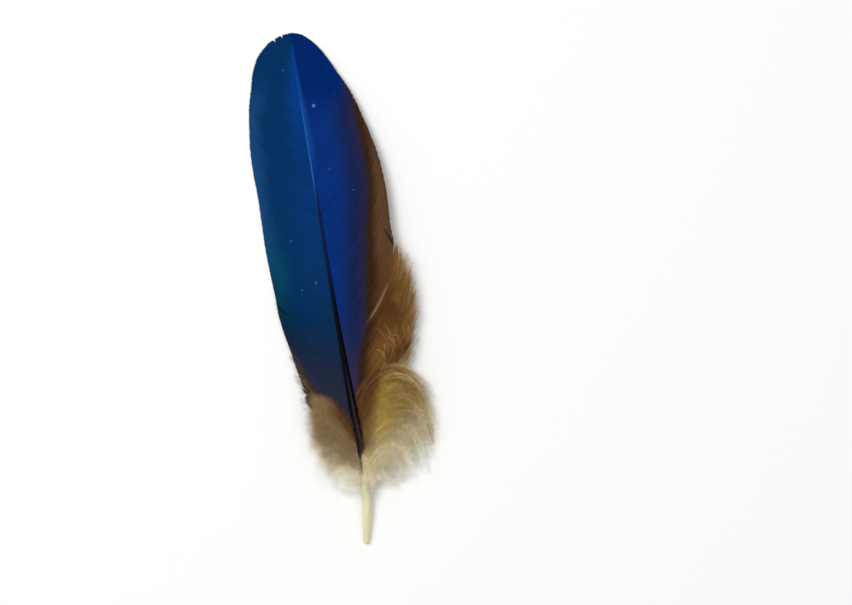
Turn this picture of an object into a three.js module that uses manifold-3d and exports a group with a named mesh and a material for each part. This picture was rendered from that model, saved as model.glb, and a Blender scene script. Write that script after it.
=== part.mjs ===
// A wing feather of a blue and yellow macaw, moulted and lying on its underside.
// Millimetres, +Z up. +Y runs from the end of the quill to the tip of the vanes, and +X points to
// the side of the wide inner vane. The frame's origin is under the middle of the feather.
//
// The whole feather grew as one piece, so it is one solid: a shaft, and on each side of it a vane
// that is a thin sheet laid over its barbs. Towards the quill the sheet loosens into locks of down.

import * as THREE from "three";
import { mergeVertices } from "three/addons/utils/BufferGeometryUtils.js";
import Module from "manifold-3d";

const wasm = await Module();
wasm.setup();

// ---- Driving dimensions ----
// "Along" is measured from the end of the quill, "across" from the line between quill and tip.

const SHAFT_END = 126.5; // where the shaft runs out, just short of the vanes' tip
const SHAFT_STEPS = 44;
const SHAFT_SIDES = 10;
const SHAFT_DEPTH_TO_WIDTH = 1.15;

// Each row: along, across. The shaft bows gently to the side of the inner vane.
const SHAFT_BEND = [
  [0, 0], [11, 1.8], [21, 2.45], [36, 1.7], [62, 0.9], [87, 0.4], [107, 0], [118, -0.4], [129.6, -0.1],
];

// Each row: along, height of the shaft's middle. The feather arches between its tip and its quill.
const SHAFT_HEIGHT = [
  [0, 0.8], [11, 1.7], [25, 3.0], [45, 4.5], [65, 4.9], [85, 4.3], [105, 2.9], [120, 1.3], [129.6, 0.35],
];

// Each row: along, width. A blunt hollow quill, then a rachis that tapers to the tip.
const SHAFT_WIDTH = [
  [0, 1.4], [3, 1.9], [11, 2.6], [22, 2.4], [36, 2.1], [49, 1.55], [62, 1.15], [82, 0.8], [126.5, 0.35],
];

// Barbs of each vane. Each row: where the barb leaves the shaft, then its tip: across, along, height.
const OUTER_BARBS = [
  [14.5, -3.0, 11.0, 0.45],
  [16.5, -6.5, 15.0, 0.4],
  [18.8, -8.0, 21.0, 0.45],
  [22.0, -8.9, 30.0, 0.7],
  [26.5, -10.0, 39.5, 1.0],
  [32.0, -11.6, 48.8, 0.9],
  [39.7, -13.4, 58.6, 0.5],
  [45.5, -13.7, 64.4, 0.3],
  [57.2, -14.4, 75.9, 0.15],
  [70.6, -14.4, 89.0, 0.15],
  [81.5, -14.7, 99.7, 0.15],
  [94.5, -13.5, 111.6, 0.2],
  [101.5, -12.2, 117.0, 0.25],
  [107.0, -11.0, 121.4, 0.25],
  [112.0, -9.2, 124.9, 0.25],
  [116.5, -6.7, 127.4, 0.2],
  [120.0, -4.3, 128.7, 0.15],
  [123.0, -2.2, 129.4, 0.15],
  [125.5, 0.15, 129.5, 0.15],
];
const INNER_BARBS = [
  [14.5, 3.9, 11.8, 0.5],
  [15.5, 8.0, 12.6, 0.45],
  [16.5, 12.0, 13.8, 0.4],
  [17.5, 15.5, 16.4, 0.4],
  [18.7, 18.2, 20.6, 0.45],
  [21.0, 20.3, 28.4, 0.6],
  [22.5, 20.5, 33.4, 0.8],
  [24.0, 20.1, 37.8, 1.2],
  [26.0, 19.0, 42.0, 1.8],
  [29.0, 18.6, 47.6, 2.4],
  [34.0, 20.6, 56.1, 2.8],
  [37.5, 21.2, 61.1, 3.0],
  [41.0, 20.6, 65.2, 3.2],
  [47.0, 18.9, 70.5, 3.5],
  [55.4, 17.7, 77.3, 3.7],
  [63.8, 17.9, 86.1, 3.7],
  [74.4, 17.1, 96.0, 3.3],
  [89.6, 14.2, 107.8, 2.4],
  [96.8, 12.5, 112.9, 1.9],
  [102.6, 10.5, 117.0, 1.4],
  [109.2, 8.4, 121.2, 0.9],
  [114.8, 6.4, 124.7, 0.5],
  [118.9, 4.4, 127.1, 0.3],
  [122.6, 2.2, 128.9, 0.2],
  [125.5, -0.15, 129.6, 0.15],
];

// Each row: where the barb leaves the shaft, how far its middle bows towards the feather's tip, as a
// share of its length, and how far it rises. Down curls over and hangs back, and the barbs of the
// web lean forward.
const BARB_BOW = [
  [14.5, 0.3, 0.6], [22, 0.26, 0.7], [28, 0.1, 0.7], [34, -0.04, 0.5], [45, -0.08, 0.4],
  [112, -0.05, 0.25], [125.5, 0, 0],
];

// Each row: where the barb leaves the shaft, the sheet's thickness at the shaft and at the tip, how
// much fuller it is in between, and how far its underside sags at the tip, where the down is loose.
const SHEET_THICKNESS = [
  [14.5, 1.0, 1.2, 2.4, 1.2], [22, 1.0, 1.2, 2.6, 1.2], [27, 1.0, 1.0, 1.2, 0.5], [33, 0.7, 0.7, 0.3, 0],
  [40, 0.55, 0.5, 0, 0], [100, 0.5, 0.45, 0, 0], [125.5, 0.35, 0.35, 0, 0],
];

// Each row: where the barb leaves the shaft, the gap between neighbouring tips, and how much shorter
// the barbs between two locks are than those on a lock's crest, as a share of their length.
const INNER_LOCKS = [[14.5, 1.1, 0.24], [26, 1.1, 0.18], [33, 1.1, 0.1], [41, 1.3, 0.06], [47, 3.2, 0]];
const OUTER_LOCKS = [[14.5, 1.1, 0.28], [24, 1.1, 0.22], [31, 1.3, 0.08], [36, 3.2, 0]];

const BARB_STEPS = 7;
const ROOT_SEAT = 0.15; // how far above the shaft's middle the barbs sit, as a share of its width
const ROOT_OVERLAP = 0.2; // how far a sheet reaches past the shaft's middle, as a share of its width
const VALLEY_THICKNESS = 0.6; // the sheet between two locks, as a share of its thickness on a crest
const LOCK_SPREAD = 0.6; // how far a lock's length varies, as a share of the notch beside it
const GAP_SPREAD = 0.4; // how far the gap between tips varies, as a share of itself
const ROOT_SEARCH_STEP = 0.02;

// Places where the barbs have come unhooked and the vane is parted from its edge inwards.
const SPLITS = [
  { mouth: [-3.5, 129.6], end: [-1.9, 126.9], gap: 0.55 },
  { mouth: [-5.1, 128.6], end: [-3.4, 126.2], gap: 0.5 },
  { mouth: [-14.6, 64.0], end: [-10.4, 58.4], gap: 0.7 },
  { mouth: [18.6, 72.0], end: [15.6, 77.6], gap: 0.7 },
];
const SPLIT_OVERRUN = 0.5; // how far a split's mouth passes the edge, as a share of its length
const SPLIT_HEIGHT = 12;

// ---- Curves through the dimensions ----

// A smooth curve through the rows at one place: in each column a cubic between two rows, with the
// slope at a row taken from its two neighbours.
function follow(rows, at) {
  const last = rows.length - 1;
  const place = THREE.MathUtils.clamp(at, rows[0][0], rows[last][0]);
  let row = 0;
  while (row < last - 1 && place > rows[row + 1][0]) {
    row += 1;
  }
  const [before, after] = [rows[row], rows[row + 1]];
  const span = after[0] - before[0];
  const t = (place - before[0]) / span;
  const slope = (index, column) => {
    const low = rows[Math.max(index - 1, 0)];
    const high = rows[Math.min(index + 1, last)];
    return (high[column] - low[column]) / (high[0] - low[0]);
  };
  return before.slice(1).map((value, index) => {
    const column = index + 1;
    const rise = after[column] - value;
    const leave = slope(row, column) * span - rise;
    const arrive = slope(row + 1, column) * span - rise;
    return value + rise * t + t * (1 - t) * (leave * (1 - t) - arrive * t);
  });
}

function shaftMiddle(along) {
  return new THREE.Vector3(follow(SHAFT_BEND, along)[0], along, follow(SHAFT_HEIGHT, along)[0]);
}

// ---- Solids ----

// What would sink below the surface that the feather lies on is pressed flat against it.
function onSurface(point) {
  return point.setZ(Math.max(point.z, 0));
}

// A closed body through a list of rings with the same number of points. The two end rings are
// closed by a strip that joins each point to the one opposite it.
function loft(rings) {
  const count = rings[0].length;
  const faces = [];
  const quad = (a, b, c, d) => faces.push(a, b, c, a, c, d);
  for (let ring = 0; ring < rings.length - 1; ring += 1) {
    for (let point = 0; point < count; point += 1) {
      const next = (point + 1) % count;
      const [here, there] = [ring * count, (ring + 1) * count];
      quad(here + point, here + next, there + next, there + point);
    }
  }
  const cap = (start, flip) => {
    for (let point = 0; point < count / 2 - 1; point += 1) {
      const corners = [point, count - 1 - point, count - 2 - point, point + 1].map((c) => start + c);
      quad(...(flip ? corners.reverse() : corners));
    }
  };
  cap(0, false);
  cap((rings.length - 1) * count, true);
  const geometry = new THREE.BufferGeometry().setFromPoints(rings.flat());
  geometry.setIndex(faces);
  return geometry;
}

function solid(geometry) {
  const bare = geometry.clone();
  bare.deleteAttribute("normal");
  bare.deleteAttribute("uv");
  const merged = mergeVertices(bare);
  const mesh = new wasm.Mesh({
    numProp: 3,
    vertProperties: new Float32Array(merged.attributes.position.array),
    triVerts: new Uint32Array(merged.index.array),
  });
  return new wasm.Manifold(mesh);
}

// The quill and rachis: ovals along the shaft's curve, deeper than they are wide.
function shaft() {
  const rings = [];
  for (let step = 0; step <= SHAFT_STEPS; step += 1) {
    const middle = shaftMiddle((SHAFT_END * step) / SHAFT_STEPS);
    const width = follow(SHAFT_WIDTH, middle.y)[0];
    const ring = [];
    for (let side = 0; side < SHAFT_SIDES; side += 1) {
      const angle = (2 * Math.PI * side) / SHAFT_SIDES;
      const across = (Math.sin(angle) * width) / 2;
      const up = (Math.cos(angle) * width * SHAFT_DEPTH_TO_WIDTH) / 2;
      ring.push(onSurface(new THREE.Vector3(middle.x + across, middle.y, middle.z + up)));
    }
    rings.push(ring);
  }
  return loft(rings);
}

// The middle line of one barb: a bowed curve from the shaft to the barb's tip.
function barb(vane, root, length) {
  const start = shaftMiddle(root);
  const width = follow(SHAFT_WIDTH, root)[0];
  start.add(new THREE.Vector3(-vane.side * ROOT_OVERLAP * width, 0, ROOT_SEAT * width));
  const tip = new THREE.Vector3(...follow(vane.barbs, root));
  const reach = tip.clone().sub(start);
  const [bow, rise] = follow(BARB_BOW, root);
  const lean = new THREE.Vector3(-reach.y, reach.x, 0).multiplyScalar(vane.side * bow);
  const knee = start.clone().lerp(tip, 0.5).addScaledVector(lean, 2);
  knee.z += 2 * rise;
  const curve = new THREE.QuadraticBezierCurve3(start, knee, tip);
  return Array.from({ length: BARB_STEPS + 1 }, (_, step) => curve.getPoint((length * step) / BARB_STEPS));
}

// Chance, the same at every build: a number from 0 to 1 for one barb of a vane.
function random(vane, index) {
  return THREE.MathUtils.seededRandom(vane.seed + index);
}

// Where the sheet's barbs leave the shaft, so that the gaps between their tips follow the vane's rows.
function barbRoots(vane) {
  const end = vane.barbs[vane.barbs.length - 1][0];
  const roots = [vane.barbs[0][0]];
  const tipAt = (root) => new THREE.Vector3(...follow(vane.barbs, root));
  let tip = tipAt(roots[0]);
  for (let root = roots[0]; root < end; root += ROOT_SEARCH_STEP) {
    const next = tipAt(root);
    const vary = 1 + GAP_SPREAD * (2 * random(vane, roots.length) - 1);
    if (next.distanceTo(tip) >= follow(vane.locks, root)[0] * vary) {
      roots.push(root);
      tip = next;
    }
  }
  roots.push(end);
  return roots;
}

// One vane: a ring of points around each barb, up over its top and back under it.
function vaneSheet(vane) {
  const rings = barbRoots(vane).map((root, index) => {
    const notch = follow(vane.locks, root)[1];
    const crest = index % 2 === 1;
    const vary = (2 * random(vane, 2 * index) - 1) * LOCK_SPREAD;
    const length = 1 - notch * (crest ? vary / 2 : 1 + vary / 2);
    const [atShaft, atTip, fuller, sag] = follow(SHEET_THICKNESS, root);
    const middle = barb(vane, root, length);
    const ringSide = (sign) => middle.map((point, step) => {
      const t = step / BARB_STEPS;
      const half = (THREE.MathUtils.lerp(atShaft, atTip, t) + 4 * t * (1 - t) * fuller) / 2;
      const valley = crest || notch === 0 ? 1 : 1 - (1 - VALLEY_THICKNESS) * t;
      const rise = sign > 0 ? half * valley : -half - sag * t;
      return onSurface(point.clone().add(new THREE.Vector3(0, 0, rise)));
    });
    return [...ringSide(1), ...ringSide(-1).reverse()];
  });
  return loft(vane.side > 0 ? rings : rings.reverse());
}

// A wedge that parts the vane, widest outside the edge and sharp at the split's inner end.
function splitWedge({ mouth, end, gap }) {
  const [inner, outer] = [new THREE.Vector2(...end), new THREE.Vector2(...mouth)];
  const run = outer.clone().sub(inner);
  const beyond = outer.clone().addScaledVector(run, SPLIT_OVERRUN);
  const aside = new THREE.Vector2(-run.y, run.x).normalize().multiplyScalar((gap * (1 + SPLIT_OVERRUN)) / 2);
  const shape = new THREE.Shape([inner, beyond.clone().sub(aside), beyond.clone().add(aside)]);
  const wedge = new THREE.ExtrudeGeometry(shape, { depth: SPLIT_HEIGHT, bevelEnabled: false });
  return wedge.translate(0, 0, -SPLIT_HEIGHT / 2);
}

// ---- The feather ----

const OUTER_VANE = { side: -1, barbs: OUTER_BARBS, locks: OUTER_LOCKS, seed: 300 };
const INNER_VANE = { side: 1, barbs: INNER_BARBS, locks: INNER_LOCKS, seed: 700 };

function featherGeometry() {
  let body = solid(shaft());
  for (const vane of [OUTER_VANE, INNER_VANE]) {
    body = body.add(solid(vaneSheet(vane)));
  }
  for (const split of SPLITS) {
    body = body.subtract(solid(splitWedge(split)));
  }
  const { vertProperties, triVerts } = body.getMesh();
  const geometry = new THREE.BufferGeometry();
  geometry.setAttribute("position", new THREE.BufferAttribute(vertProperties, 3));
  geometry.setIndex(new THREE.BufferAttribute(triVerts, 1));
  geometry.computeBoundingBox();
  const middle = geometry.boundingBox.getCenter(new THREE.Vector3());
  geometry.translate(-middle.x, -middle.y, 0);
  geometry.computeVertexNormals();
  return geometry;
}

const keratin = new THREE.MeshStandardMaterial({ color: 0x1b4686, roughness: 0.55, metalness: 0 });
const feather = new THREE.Mesh(featherGeometry(), keratin);
feather.name = "feather";

const group = new THREE.Group();
group.add(feather);

export default group;
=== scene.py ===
"""A macaw's wing feather, barb by barb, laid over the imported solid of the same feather.

Feather sizes are in millimetres: "along" runs from the quill's end to the vanes' tip, "across" runs
from the line between those two ends towards the wide inner vane, and heights are above the surface.
"""
import math

import bpy
import numpy as np
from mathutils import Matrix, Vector


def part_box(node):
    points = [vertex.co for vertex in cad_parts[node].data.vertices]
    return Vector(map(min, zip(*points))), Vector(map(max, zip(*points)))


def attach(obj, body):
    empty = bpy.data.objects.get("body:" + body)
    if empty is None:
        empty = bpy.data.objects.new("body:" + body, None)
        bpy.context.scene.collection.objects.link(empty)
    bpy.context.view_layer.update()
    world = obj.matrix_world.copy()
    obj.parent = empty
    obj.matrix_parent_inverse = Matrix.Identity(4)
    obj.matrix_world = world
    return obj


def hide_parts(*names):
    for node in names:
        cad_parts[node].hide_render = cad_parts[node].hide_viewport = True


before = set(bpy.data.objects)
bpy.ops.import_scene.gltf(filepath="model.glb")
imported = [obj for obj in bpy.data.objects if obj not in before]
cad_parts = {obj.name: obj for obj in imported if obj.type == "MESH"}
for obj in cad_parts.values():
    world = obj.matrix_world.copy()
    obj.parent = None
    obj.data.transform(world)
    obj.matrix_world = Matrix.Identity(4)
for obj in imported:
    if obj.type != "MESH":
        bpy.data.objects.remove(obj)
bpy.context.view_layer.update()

MM = 0.001
OUTER_REACH = -14.73  # across, where the solid is widest on the outer side

# ---- The feather's form, the same as the solid's ----

# Each row: along, across.
SHAFT_BEND = [
    [0, 0], [11, 1.8], [21, 2.45], [36, 1.7], [62, 0.9], [87, 0.4], [107, 0], [118, -0.4], [129.6, -0.1],
]
# Each row: along, height of the shaft's middle.
SHAFT_HEIGHT = [
    [0, 0.8], [11, 1.7], [25, 3.0], [45, 4.5], [65, 4.9], [85, 4.3], [105, 2.9], [120, 1.3], [129.6, 0.35],
]
# Each row: along, width.
SHAFT_WIDTH = [
    [0, 1.4], [3, 1.9], [11, 2.6], [22, 2.4], [36, 2.1], [49, 1.55], [62, 1.15], [82, 0.8], [126.5, 0.35],
]
SHAFT_END = 126.5
SHAFT_DEPTH_TO_WIDTH = 1.15
# Each row: where a barb leaves the shaft, then its tip: across, along, height.
OUTER_WEB = [
    [22.0, -8.9, 30.0, 0.7], [26.5, -10.0, 39.5, 1.0], [32.0, -11.6, 48.8, 0.9], [39.7, -13.4, 58.6, 0.5],
    [45.5, -13.7, 64.4, 0.3], [57.2, -14.4, 75.9, 0.15], [70.6, -14.4, 89.0, 0.15],
    [81.5, -14.7, 99.7, 0.15], [94.5, -13.5, 111.6, 0.2], [101.5, -12.2, 117.0, 0.25],
    [107.0, -11.0, 121.4, 0.25], [112.0, -9.2, 124.9, 0.25], [116.5, -6.7, 127.4, 0.2],
    [120.0, -4.3, 128.7, 0.15], [123.0, -2.2, 129.4, 0.15], [125.5, 0.15, 129.5, 0.15],
]
INNER_WEB = [
    [24.0, 17.0, 39.0, 1.8], [29.0, 18.6, 47.6, 2.4], [34.0, 20.6, 56.1, 2.8], [37.5, 21.2, 61.1, 3.0],
    [41.0, 20.6, 65.2, 3.2], [47.0, 18.9, 70.5, 3.5], [55.4, 17.7, 77.3, 3.7], [63.8, 17.9, 86.1, 3.7],
    [74.4, 17.1, 96.0, 3.3], [89.6, 14.2, 107.8, 2.4], [96.8, 12.5, 112.9, 1.9],
    [102.6, 10.5, 117.0, 1.4], [109.2, 8.4, 121.2, 0.9], [114.8, 6.4, 124.7, 0.5],
    [118.9, 4.4, 127.1, 0.3], [122.6, 2.2, 128.9, 0.2], [125.5, -0.15, 129.6, 0.15],
]
# Each row: where a barb leaves the shaft, how far its middle bows towards the feather's tip as a
# share of its length, and how far it rises.
WEB_BOW = [
    [22, 0.04, 0.7], [28, 0.02, 0.7], [34, -0.04, 0.5], [45, -0.08, 0.4], [112, -0.05, 0.25],
    [125.5, 0, 0],
]
# Down curls over and hangs back. Each row: where a barb leaves the shaft, the point it heads for
# (across, along), the point it arrives from (across, along), its tip (across, along, height), and how
# far it rises.
OUTER_DOWN = [
    [14.0, -1.5, 15.5, -3.6, 17.5, -3.0, 12.8, 0.4, 0.7],
    [17.0, -2.5, 21.0, -6.5, 24.0, -5.8, 13.6, 0.4, 1.0],
    [20.0, -3.0, 26.0, -8.0, 30.5, -7.5, 17.0, 0.5, 1.2],
    [24.0, -3.6, 31.0, -8.6, 37.0, -8.8, 24.0, 0.7, 1.3],
    [28.0, -3.8, 35.0, -8.0, 40.5, -9.4, 31.0, 1.0, 1.0],
    [32.0, -4.0, 38.5, -7.5, 43.0, -10.0, 38.0, 1.0, 0.7],
]
INNER_DOWN = [
    [14.0, 3.2, 16.2, 5.2, 17.8, 4.6, 12.8, 0.4, 0.6],
    [16.0, 4.8, 20.5, 9.8, 22.0, 9.4, 12.2, 0.4, 0.9],
    [18.0, 5.8, 25.0, 13.8, 27.0, 13.4, 13.4, 0.5, 1.2],
    [20.0, 6.2, 28.5, 16.2, 32.6, 16.8, 15.4, 0.5, 1.3],
    [22.0, 6.5, 31.5, 17.8, 36.2, 18.8, 17.6, 0.6, 1.4],
    [26.0, 7.0, 36.5, 19.0, 40.4, 20.4, 22.8, 0.8, 1.3],
    [30.0, 7.6, 41.4, 18.4, 42.4, 20.6, 28.8, 1.2, 1.2],
    [34.0, 8.2, 44.8, 16.6, 44.4, 19.8, 33.8, 1.8, 0.9],
    [38.0, 9.4, 47.4, 14.2, 46.2, 17.6, 38.6, 2.4, 0.7],
]
# Loosened ends that stand up above the curls, in rows like the down's.
TUFTS = [
    [28.0, 8.0, 39.0, 12.6, 44.0, 11.2, 48.2, 4.4, 0.2],
    [31.0, 9.5, 42.0, 15.0, 45.4, 13.0, 49.6, 4.3, 0.2],
    [34.0, 11.0, 43.0, 17.0, 46.4, 14.8, 51.4, 4.2, 0.2],
    [37.0, 13.0, 44.5, 18.6, 47.6, 16.6, 53.0, 4.0, 0.2],
]
# Short fluff that lies down along the quill, in rows like the down's.
QUILL_FLUFF = [
    [14.5, 2.6, 15.0, 2.4, 12.5, 2.2, 10.6, 2.2, 0.5],
    [18.0, 2.9, 19.0, 3.3, 15.5, 2.6, 12.2, 2.6, 0.6],
    [22.5, 3.0, 23.5, 3.6, 20.0, 3.0, 15.5, 3.2, 0.6],
    [25.0, 2.9, 26.0, 3.6, 23.0, 3.2, 18.5, 3.6, 0.5],
]
WEB_TIP = slice(0, 3)  # where a row of the web holds its tip
DOWN_TIP = slice(4, 7)  # and where a row of the down does
HEADING = slice(0, 2)  # where a row of the down holds the point that a barb heads for
ARRIVING = slice(2, 4)  # the point that it arrives from
DOWN_RISE = slice(7, 8)  # and how far it rises
ROOT_SEAT = 0.15  # how far above the shaft's middle the barbs sit, as a share of its width
ROOT_ASIDE = 0.35  # how far from the shaft's middle the barbs start, as a share of its width

# Where the blue of the inner vane ends. Each row: along, across.
BLUE_EDGE = [
    [24, 1.0], [30, 1.6], [36, 2.5], [46, 5.1], [55, 7.8], [65, 9.3], [73, 10.6], [85, 12.7], [93, 13.3],
    [104, 13.2], [110, 12.8], [118, 12.6], [129.6, 12.0],
]


def follow(rows, at):
    """Smooth curve through rows: a cubic between two rows, whose slope at a row is the rise between
    its two neighbours over the distance between them."""
    rows = np.asarray(rows, float)
    place, values = rows[:, 0], rows[:, 1:]
    at = np.clip(at, place[0], place[-1])
    row = np.clip(np.searchsorted(place, at) - 1, 0, len(place) - 2)
    low = np.maximum(np.arange(len(place)) - 1, 0)
    high = np.minimum(np.arange(len(place)) + 1, len(place) - 1)
    slope = (values[high] - values[low]) / (place[high] - place[low])[:, None]
    span = (place[row + 1] - place[row])[..., None]
    t = (at - place[row])[..., None] / span
    rise = values[row + 1] - values[row]
    leave = slope[row] * span - rise
    arrive = slope[row + 1] * span - rise
    return values[row] + rise * t + t * (1 - t) * (leave * (1 - t) - arrive * t)


def soft(value, low, high):
    """A step from 0 at low to 1 at high with rounded ends: 3 t squared minus 2 t cubed."""
    t = np.clip((value - low) / (high - low), 0, 1)
    return t * t * (3 - 2 * t)


def unit(vectors):
    """Vectors divided by their own lengths."""
    return vectors / np.maximum(np.linalg.norm(vectors, axis=-1, keepdims=True), 1e-9)


def shaft_middle(along):
    """Points on the shaft's middle line: its bend across and its height, read at each place along."""
    along = np.asarray(along, float)
    across = follow(SHAFT_BEND, along)[..., 0]
    return np.stack([across, along, follow(SHAFT_HEIGHT, along)[..., 0]], axis=-1)


def shaft_width(along):
    """The shaft's width at each place along."""
    return follow(SHAFT_WIDTH, np.asarray(along, float))[..., 0]


# ---- Meshes ----

def solid_place():
    """What is added to a place in feather millimetres to have it in the frame of the solid, also in
    millimetres: the solid's low corner less the feather's own low corner."""
    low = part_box("feather")[0]
    return np.array([low.x / MM - OUTER_REACH, low.y / MM, 0])


SHARP_ANGLE = math.radians(60)  # edges that turn by more than this aren't shaded as smooth


def make_piece(name, points, faces, spots, fields, finish):
    """One mesh from whole arrays. Points are in feather millimetres, faces is a list of arrays of
    corner numbers, spots holds each face corner's place on the piece's map, and fields are numbers
    that each point carries for its finish, besides its places across and along."""
    corners = np.concatenate([f.ravel() for f in faces])
    sizes = np.concatenate([np.full(len(f), f.shape[1]) for f in faces])
    mesh = bpy.data.meshes.new(name)
    mesh.vertices.add(len(points))
    mesh.vertices.foreach_set("co", ((points + solid_place()) * MM).astype(np.float32).ravel())
    mesh.loops.add(len(corners))
    mesh.loops.foreach_set("vertex_index", corners.astype(np.int32))
    mesh.polygons.add(len(sizes))
    mesh.polygons.foreach_set("loop_start", (np.cumsum(sizes) - sizes).astype(np.int32))
    mesh.update(calc_edges=True)
    mesh.uv_layers.new(name="OFBake").data.foreach_set("uv", spots.astype(np.float32).ravel())
    for field, values in {**fields, "across": points[:, 0], "along": points[:, 1]}.items():
        attribute = mesh.attributes.new(field, "FLOAT", "POINT")
        attribute.data.foreach_set("value", np.asarray(values, np.float32).ravel())
    mesh.polygons.foreach_set("use_smooth", np.ones(len(sizes), bool))
    mesh.set_sharp_from_angle(angle=SHARP_ANGLE)
    mesh.materials.append(finish)
    piece = bpy.data.objects.new(name, mesh)
    bpy.context.scene.collection.objects.link(piece)
    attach(piece, "root")
    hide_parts("feather")
    return piece


def strand_faces(count, rings, sides):
    """Corner numbers of closed strands laid one after another: a quad between each pair of
    neighbouring rings on every side, then the first ring and the last as end faces."""
    start = (np.arange(count) * rings * sides)[:, None, None]
    ring = (np.arange(rings - 1) * sides)[None, :, None]
    side = np.arange(sides)[None, None, :]
    here = start + ring + side
    beside = start + ring + (side + 1) % sides
    walls = np.stack([here, beside, beside + sides, here + sides], axis=-1)
    first = start[:, 0] + np.arange(sides)[None, ::-1]
    last = start[:, 0] + (rings - 1) * sides + np.arange(sides)[None, :]
    return [walls.reshape(-1, 4), np.concatenate([first, last])]


STRIPE_LIFT = 0.5  # how far above the lower stripes of the map its upper ones lie
END_INSET = 0.02  # how far into its stripe the map of an end face lies, as a share of the stripe
END_WIDTH = 0.3  # the radii of that map, as shares of the stripe's width
END_HEIGHT = 0.01  # and of its height


def strand_spots(left, right, low, high, rings, under):
    """Places on the map for strand_faces: each strand has an upright stripe between its left and its
    right, and its run goes from low to high. Sides that have a 1 in under lie in a second stripe,
    above the first. An end face is a small oval in the middle of the stripe's end."""
    run = np.linspace(0, 1, rings)
    up = STRIPE_LIFT * np.asarray(under, float)[None, None, :]
    start = (low[:, None] + (high - low)[:, None] * run[None, :-1])[..., None] + up
    end = (low[:, None] + (high - low)[:, None] * run[None, 1:])[..., None] + up
    left_side, right_side = (np.broadcast_to(a[:, None, None], start.shape) for a in (left, right))
    walls = np.stack([left_side, start, right_side, start, right_side, end, left_side, end], axis=-1)
    turn = np.linspace(0, 2 * np.pi, len(under), endpoint=False)
    circle = np.stack([np.cos(turn), np.sin(turn)], axis=-1)
    size = np.stack([(right - left) * END_WIDTH, (high - low) * END_HEIGHT], axis=-1)
    middle = (left + right) / 2
    inset = (high - low) * END_INSET
    ends = [
        np.stack([middle, place], axis=-1)[:, None, :] + circle[None, ::flip] * size[:, None, :]
        for place, flip in ((low + inset, -1), (high - inset, 1))
    ]
    return np.concatenate([walls.reshape(-1, 2), *(e.reshape(-1, 2) for e in ends)])


def strand_points(lines, up, half_width, half_height, section, tilt=0.0):
    """Points of closed strands: at each point of each line a ring, whose corners are the section's
    steps across times the half width plus its steps up times the half height. Across is square to
    the line and to up, and tilt lifts one edge of the ring and lowers the other."""
    forward = unit(np.gradient(lines, axis=1))
    across = unit(np.cross(up, forward))
    upward = np.cross(forward, across)
    section = np.asarray(section, float)
    out = section[:, 0][None, None, :, None] * half_width[:, :, None, None]
    lift = section[:, 1][None, None, :, None] * half_height[:, :, None, None]
    lift = lift + section[:, 0][None, None, :, None] * tilt
    return lines[:, :, None, :] + across[:, :, None, :] * out + upward[:, :, None, :] * lift


# ---- Barbs ----

def barb_starts(side, roots):
    """Where barbs leave the shaft: a little to their side of its middle, and above it."""
    start = shaft_middle(roots)
    start[:, 0] += side * ROOT_ASIDE * shaft_width(roots)
    start[:, 2] += ROOT_SEAT * shaft_width(roots)
    return start


def web_lines(side, rows, roots, reach):
    """Middle lines of web barbs: a quadratic Bezier curve from the shaft to the tip, whose knee
    stands off the straight line by twice the bow times its length, and above it by twice the rise."""
    start = barb_starts(side, roots)
    tip = follow(rows, roots)[:, WEB_TIP]
    bow, rise = follow(WEB_BOW, roots).T
    run = tip - start
    lean = np.stack([-run[:, 1], run[:, 0], np.zeros(len(run))], axis=-1) * (side * bow)[:, None]
    knee = (start + tip) / 2 + 2 * lean
    knee[:, 2] += 2 * rise
    t = reach[..., None]
    return (1 - t) ** 2 * start[:, None] + 2 * t * (1 - t) * knee[:, None] + t ** 2 * tip[:, None]


DOWN_SEAT = 0.47  # how far from the shaft's middle the down starts, as a share of its width
HEADING_STRAY = 0.4  # how far the first handle strays, as a share of the others' straying


def down_lines(side, rows, roots, reach, stray, climb):
    """Middle lines of down barbs: a cubic Bezier curve from the shaft to the tip, with the two
    handles of its row, lifted in between by the rise. The handles and the tip each stray a little. A
    barb starts just inside the shaft's surface, at the angle climb above its side."""
    start = shaft_middle(roots)
    half = shaft_width(roots) * DOWN_SEAT
    start[:, 0] += side * half * np.cos(climb)
    start[:, 2] += half * SHAFT_DEPTH_TO_WIDTH * np.sin(climb)
    row = follow(rows, roots)
    lift = row[:, DOWN_RISE]
    tip = row[:, DOWN_TIP]
    heading = np.concatenate([row[:, HEADING], start[:, 2:] + lift], axis=1) + stray[0] * HEADING_STRAY
    arriving = np.concatenate([row[:, ARRIVING], tip[:, 2:] + 2 * lift], axis=1) + stray[1]
    tip = tip + stray[2]
    t = reach[..., None]
    return ((1 - t) ** 3 * start[:, None] + 3 * t * (1 - t) ** 2 * heading[:, None]
            + 3 * t ** 2 * (1 - t) * arriving[:, None] + t ** 3 * tip[:, None])


def loose_lines(side, rows, roots, reach, stray, climb):
    """Middle lines of loose ends of the web: a web barb's line, which strays by the square of how far
    along the barb it is. They start in the web, so climb, which down_lines needs, has no say."""
    return web_lines(side, rows, roots, reach) + stray[0][:, None] * reach[..., None] ** 2


FINE_STEPS = 2000  # between two places along the shaft, to measure by


def even_roots(rows, tip, first, last, count):
    """Barb roots between two places along the shaft, spaced so that the sum of the step along the
    shaft and the step between the tips is the same for all."""
    fine = np.linspace(first, last, FINE_STEPS)
    tips = follow(rows, fine)[:, tip]
    steps = np.linalg.norm(np.diff(tips, axis=0), axis=1) + np.diff(fine)
    travelled = np.concatenate([[0], np.cumsum(steps)])
    return np.interp(np.linspace(0, travelled[-1], count), travelled, fine)


WEB_STEPS = 16  # points along a barb of a vane
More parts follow.
